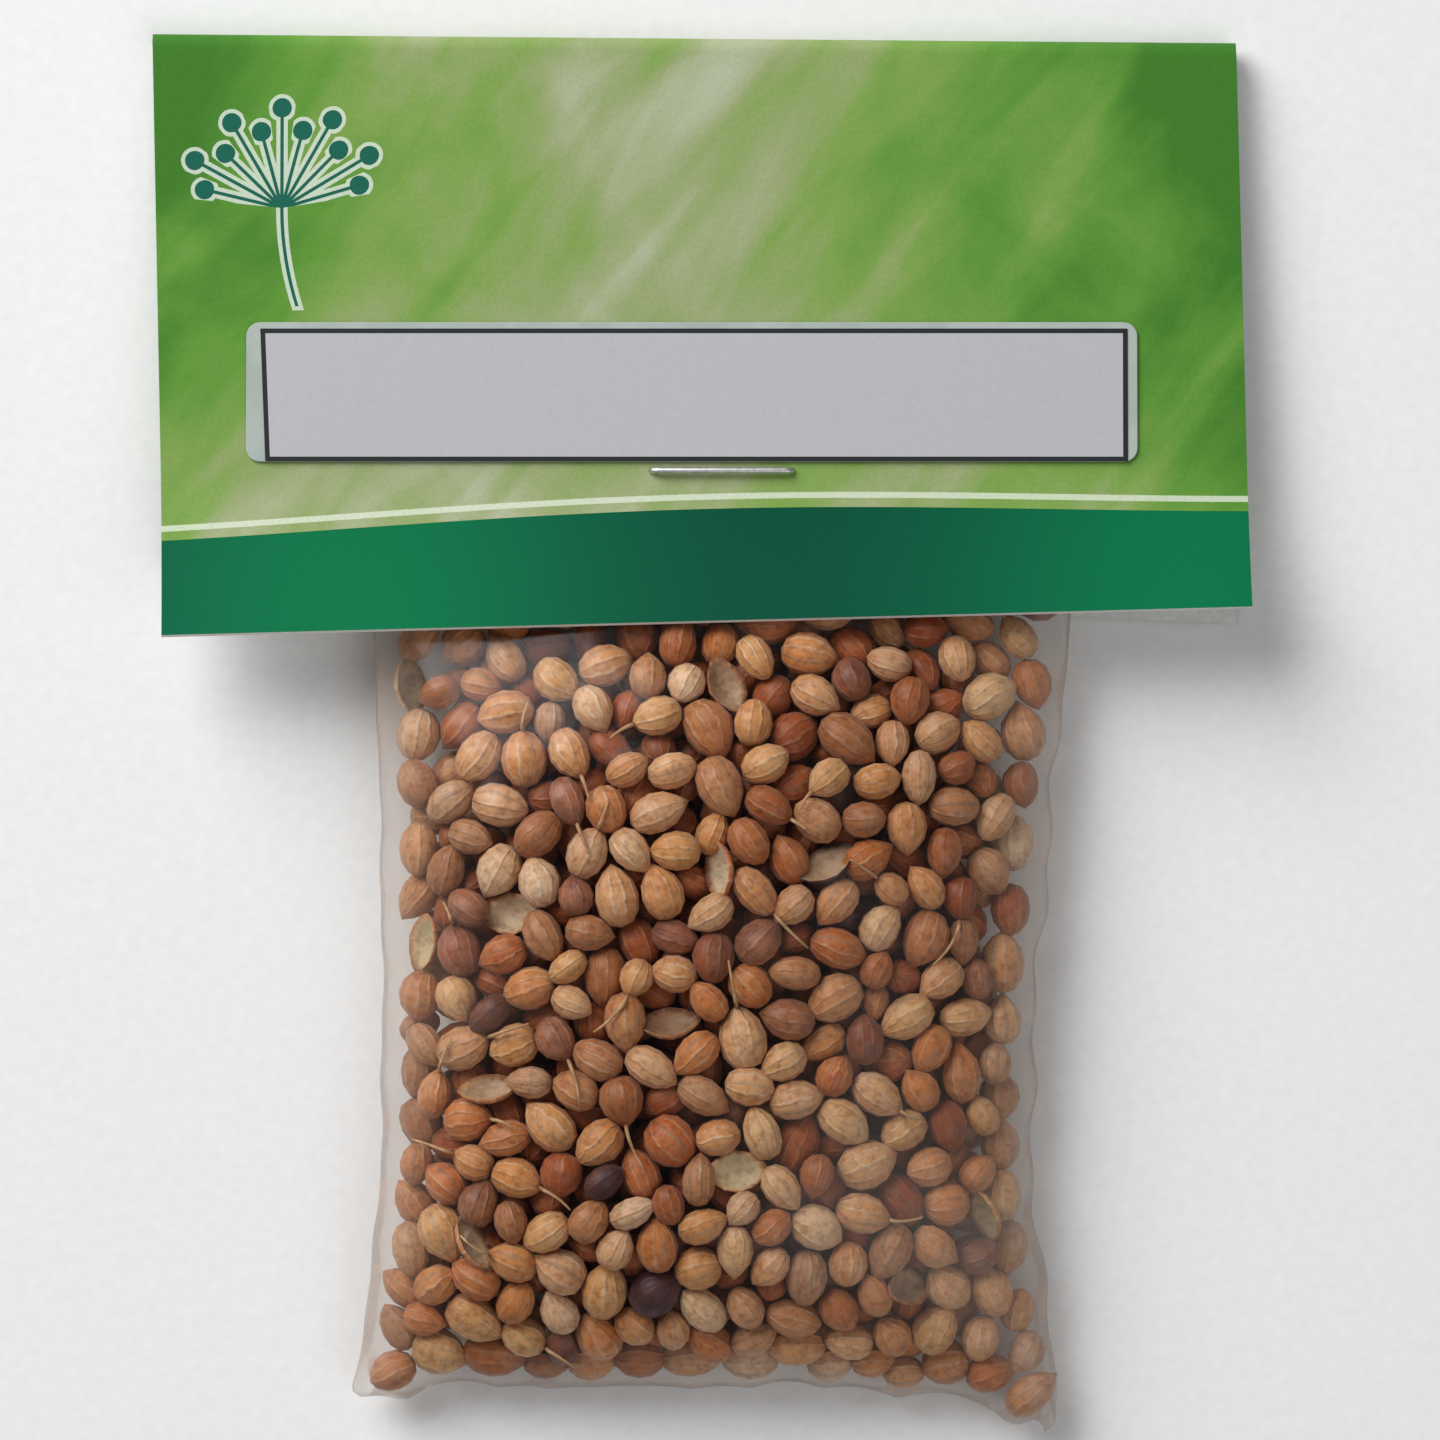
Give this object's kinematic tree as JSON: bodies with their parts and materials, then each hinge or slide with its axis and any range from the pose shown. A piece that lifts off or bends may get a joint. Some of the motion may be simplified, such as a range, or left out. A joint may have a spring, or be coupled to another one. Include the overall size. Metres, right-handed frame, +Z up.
{
  "type": "header-card bag of coriander seeds",
  "caption": "Clear film bag of dried coriander seeds lying on its back, its neck held in a folded, stapled green header card that bears a bare framed label strip.",
  "frame": {"origin": "centre of the footprint, on the surface that the bag lies on", "axes": "+Z up from that surface, +Y from the sealed bottom of the bag to the card's fold, +X across the card"},
  "size_m": [0.0958, 0.1219, 0.0139],
  "materials": {
    "film": "thin clear polypropylene film",
    "seeds": "dry ribbed husk, tan to orange brown",
    "card": "coated board, mottled green print over a dark green band",
    "label": "smooth white paper with a thin black frame",
    "wire": "zinc-coated staple wire"
  },
  "bodies": {
    "root": {"coriander_seeds": "seeds", "bag_film": "film", "header_card": "card", "label_strip": "label", "staple": "wire"}
  },
  "joints": []
}
